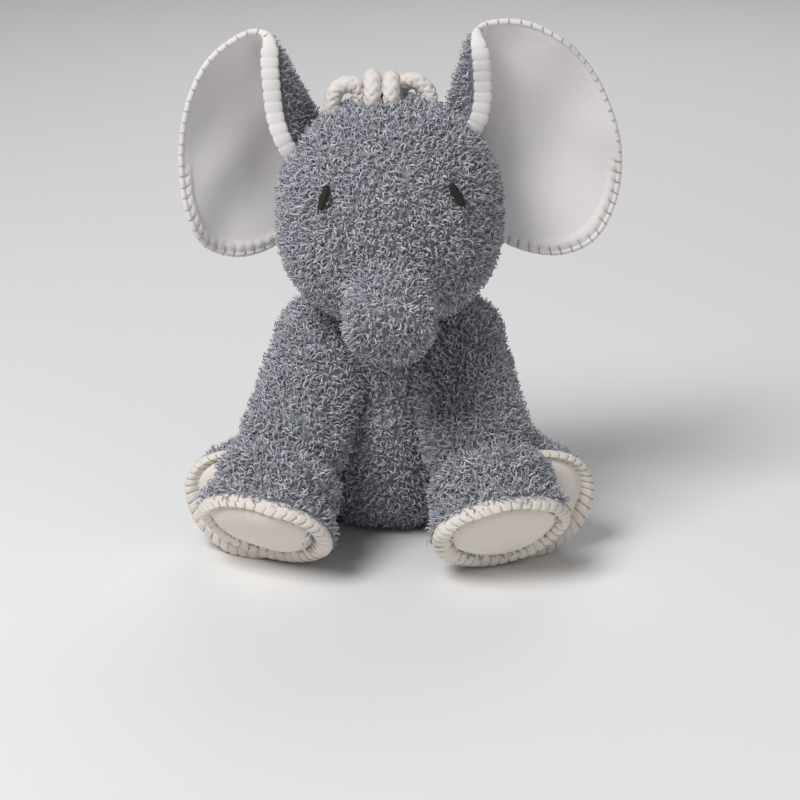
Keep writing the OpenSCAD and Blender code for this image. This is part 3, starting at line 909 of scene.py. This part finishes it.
class ELEPHANT_OT_ears(bpy.types.Operator):
    """Two cupped ears of smooth fleece backed with curly fleece, edged with blanket stitch"""
    bl_idname = "elephant.ears"
    bl_label = "Ears"

    def execute(self, context):
        trim = context.scene.elephant_trim
        group = curl_forms()
        for side in (LEFT, RIGHT):
            word = SIDE[side]
            body = f"ear_{word}"
            front = ear_sheet(f"ear_{word}_white", side, 0.2, 1.7, "white_fleece", 1.2)
            # The ear's back takes the same dark plush finish, painted shade for the gaps between
            # its curls.
            back = ear_sheet(f"ear_{word}_grey", side, -0.1, -2.0, "grey_plush", -0.3)
            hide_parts(f"ear_{word}_front")
            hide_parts(f"ear_{word}_back")
            bm = bmesh.new()
            bm.from_mesh(back.data)
            middle = len(bm.verts) // 2
            outer = [f for f in bm.faces if all(v.index >= middle for v in f.verts)]
            keep = set(outer)
            bmesh.ops.delete(bm, geom=[f for f in bm.faces if f not in keep], context="FACES")
            cloth = link("ear cloth", bm)
            points = rim_points(side, 0.8)
            path = [ear_at(p, 0.0, side) for p, _, _ in points]
            margin = KDTree(len(path))
            for i, p in enumerate(path):
                margin.insert(p, i)
            margin.balance()
            clear = {i: (FOLD_CLEAR if fold_share(points[i][0], side) > 0.3 else EDGE_CLEAR) * MM
                     for i in range(len(path))}

            def inside_edge(p, margin=margin, clear=clear):
                _, i, far = margin.find(p * MM)
                return far > clear[i]

            fur = curls_on(cloth, f"ear_{word}_fleece", group, inside_edge, 0.95, 0.85, 5 + side)
            drop([cloth])

            def roll(u, w, points=points, side=side):
                i = min(len(points) - 1, round(w * (len(points) - 1)))
                return (1.7 - 0.25 * pinch(points[i][2]) * sewn(points[i][0], side)) * MM

            def band(i, way, offset, points=points, side=side):
                """The folded margin's edge is a wide flat band that faces forward."""
                wide = fold_share(points[i][0], side)
                across = way.cross(Vector((0, 1, 0)))
                if not wide or across.length < 0.2:
                    return offset
                across.normalize()
                part = offset.dot(across)
                return offset + across * part * 1.9 * wide

            edge = tube(f"ear_{word}_edge", path, 16, roll, "white_fleece", reshape=band)
            threads = bmesh.new()
            pitch = trim.pitch / MM
            marks, due = [], None
            for point in points:
                count = round(point[2] / pitch)
                if count != due and abs(point[2] - count * pitch) < 0.5:
                    marks.append(point)
                    due = count
            for i, (p, inner, _) in enumerate(marks):
                wide = fold_share(p, side)
                here = ear_at(p, 0.0, side)
                if wide > 0.5:
                    ahead = ear_at(p + Vector((-inner.y, inner.x)) * 1.0, 0.0, side)
                    across = (ahead - here).normalized().cross(Vector((0, 1, 0))).normalized()
                    route = [here + across * k * MM + Vector((0, -y, 0)) * MM
                             for k, y in ((-4.6, 0.0), (-2.8, 0.85), (0, 1.15), (2.8, 0.85),
                                          (4.6, 0.0))]
                else:
                    reach = (3.6 + 0.8 * math.sin(i * 2.3)) * sewn(p, side)
                    route = [ear_at(p + inner * k, y, side)
                             for k, y in ((reach, 2.3), (0.4 * reach, 2.1), (-0.6, 1.5),
                                          (-1.5, 0.4), (-1.2, -1.0))]
                for a, b in zip(route, route[1:]):
                    bar(threads, a, b, trim.thread_width, 5)
            seam = link(f"ear_{word}_blanket_stitch", threads, "stitch_thread")
            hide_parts(f"ear_{word}_stitches")
            for obj in (front, back, fur, edge, seam):
                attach(obj, body)
        drop(list(group.objects))
        return {"FINISHED"}


class ELEPHANT_OT_front_legs(bpy.types.Operator):
    """Two stuffed front legs with a fold above the foot, and their soles"""
    bl_idname = "elephant.front_legs"
    bl_label = "Front legs"

    def execute(self, context):
        make_legs("front", FRONT, FRONT_PROFILE, 37.5, 104.5, 0.92)
        return {"FINISHED"}


class ELEPHANT_OT_hind_legs(bpy.types.Operator):
    """Two stuffed hind legs and their soles"""
    bl_idname = "elephant.hind_legs"
    bl_label = "Hind legs"

    def execute(self, context):
        make_legs("hind", HIND, HIND_PROFILE, 35.5, 80, 0.9)
        return {"FINISHED"}


def make_legs(kind, legs, profile, radius, height, share):
    """Both legs of a kind: skin, fleece, padded sole and its thread."""
    trim = bpy.context.scene.elephant_trim
    group = curl_forms()
    stitches = round(trim.sole_stitches * radius / 36.5)
    for side, leg in legs.items():
        name = f"{kind}_leg_{SIDE[side]}"
        way = leg_way(leg, side)
        skin = leg_skin(name + "_plush", leg, profile, side)
        pad, seam = sole(name + "_padded_sole", leg, radius, height, side, stitches)
        top = height + 3

        def shown(p, leg=leg, way=way, top=top):
            t = (p - leg["at"]).dot(way)
            on_edge = (p - leg["at"] - way * t).length > (radius - FOOT_FUR) * TOP_FLAT
            return -20 < t < top and p.z > 2 and (t < height - 5 or on_edge)

        fur = curls_on(skin, name + "_fleece", group, shown, share, 1.05, 20 + side)
        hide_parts(name + "_skin", name + "_stuffing")
        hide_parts(name + "_sole", name + "_sole_pad")
        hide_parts(name + "_stitches")
        for obj in (skin, fur):
            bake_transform(obj)
        for obj in (pad, seam):
            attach(obj, name)
    drop(list(group.objects))


class ELEPHANT_OT_tail(bpy.types.Operator):
    """Short stuffed tail"""
    bl_idname = "elephant.tail"
    bl_label = "Tail"

    def execute(self, context):
        bm = bmesh.new()
        turn = TAIL_WAY.to_track_quat("Z", "Y").to_matrix().to_4x4()
        turned(bm, rounded(TAIL_PROFILE), Matrix.Translation(TAIL * MM) @ turn, 32)
        obj = stuffed("tail_plush", bm, 2.0, 4)
        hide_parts("tail_skin", "tail_stuffing")
        group = curl_forms()
        fur = curls_on(obj, "tail_fleece", group, lambda p: (p - TAIL).dot(TAIL_WAY) > -6,
                       1.0, 0.9, 31)
        drop(list(group.objects))
        for piece in (obj, fur):
            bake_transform(piece)
        return {"FINISHED"}


class ELEPHANT_OT_inside(bpy.types.Operator):
    """Finish of the ball of filling in the neck"""
    bl_idname = "elephant.inside"
    bl_label = "Neck filling"

    def execute(self, context):
        node = bpy.data.objects["neck_stuffing"]
        node.data.materials.clear()
        node.data.materials.append(finish_named("fibre_filling"))
        return {"FINISHED"}


class ELEPHANT_OT_stage(bpy.types.Operator):
    """Plain pale floor and soft studio light"""
    bl_idname = "elephant.stage"
    bl_label = "Stage"

    def execute(self, context):
        scene = context.scene
        bm = bmesh.new()
        bmesh.ops.create_grid(bm, x_segments=1, y_segments=1, size=6)
        mesh = bpy.data.meshes.new("floor")
        bm.to_mesh(mesh)
        bm.free()
        pale = bpy.data.materials.new("pale floor")
        pale.use_nodes = True
        shader = pale.node_tree.nodes["Principled BSDF"]
        shader.inputs["Base Color"].default_value = (0.85, 0.85, 0.85, 1)
        shader.inputs["Roughness"].default_value = 0.9
        mesh.materials.append(pale)
        floor = bpy.data.objects.new("floor", mesh)
        scene.collection.objects.link(floor)
        world = bpy.data.worlds.new("studio")
        world.use_nodes = True
        world.node_tree.nodes["Background"].inputs["Color"].default_value = (1, 1, 1, 1)
        world.node_tree.nodes["Background"].inputs["Strength"].default_value = SKY
        scene.world = world
        for name, at, size, power in LAMPS:
            lamp = bpy.data.lights.new(name, "AREA")
            lamp.size = size
            lamp.energy = power
            obj = bpy.data.objects.new(name, lamp)
            obj.location = at
            obj.rotation_euler = (LAMPS_AIM - Vector(at)).to_track_quat("-Z", "Y").to_euler()
            scene.collection.objects.link(obj)
        scene.view_settings.view_transform = "Standard"
        return {"FINISHED"}


STEPS = (ELEPHANT_OT_camera, ELEPHANT_OT_hair, ELEPHANT_OT_body, ELEPHANT_OT_head,
         ELEPHANT_OT_eyes, ELEPHANT_OT_ears, ELEPHANT_OT_front_legs, ELEPHANT_OT_hind_legs,
         ELEPHANT_OT_tail, ELEPHANT_OT_inside, ELEPHANT_OT_stage)


class ELEPHANT_PT_panel(bpy.types.Panel):
    """Sizes, colours and pieces of the elephant"""
    bl_idname = "ELEPHANT_PT_panel"
    bl_label = "Plush elephant"
    bl_space_type = "VIEW_3D"
    bl_region_type = "UI"
    bl_category = "Elephant"

    def draw(self, context):
        for group in (context.scene.elephant_fleece, context.scene.elephant_trim):
            for name in group.bl_rna.properties.keys():
                if name not in ("rna_type", "name"):
                    self.layout.prop(group, name)
        for step in STEPS:
            self.layout.operator(step.bl_idname)


GROUPS = {"elephant_fleece": ElephantFleece, "elephant_trim": ElephantTrim}


def register():
    for name, group in GROUPS.items():
        bpy.utils.register_class(group)
        setattr(bpy.types.Scene, name, PointerProperty(type=group))
    for cls in (*STEPS, ELEPHANT_PT_panel):
        bpy.utils.register_class(cls)


def unregister():
    for cls in reversed((*STEPS, ELEPHANT_PT_panel)):
        bpy.utils.unregister_class(cls)
    for name, group in GROUPS.items():
        delattr(bpy.types.Scene, name)
        bpy.utils.unregister_class(group)


def main():
    register()
    for step in STEPS:
        space, name = step.bl_idname.split(".")
        getattr(getattr(bpy.ops, space), name)()


if __name__ == "__main__":
    main()
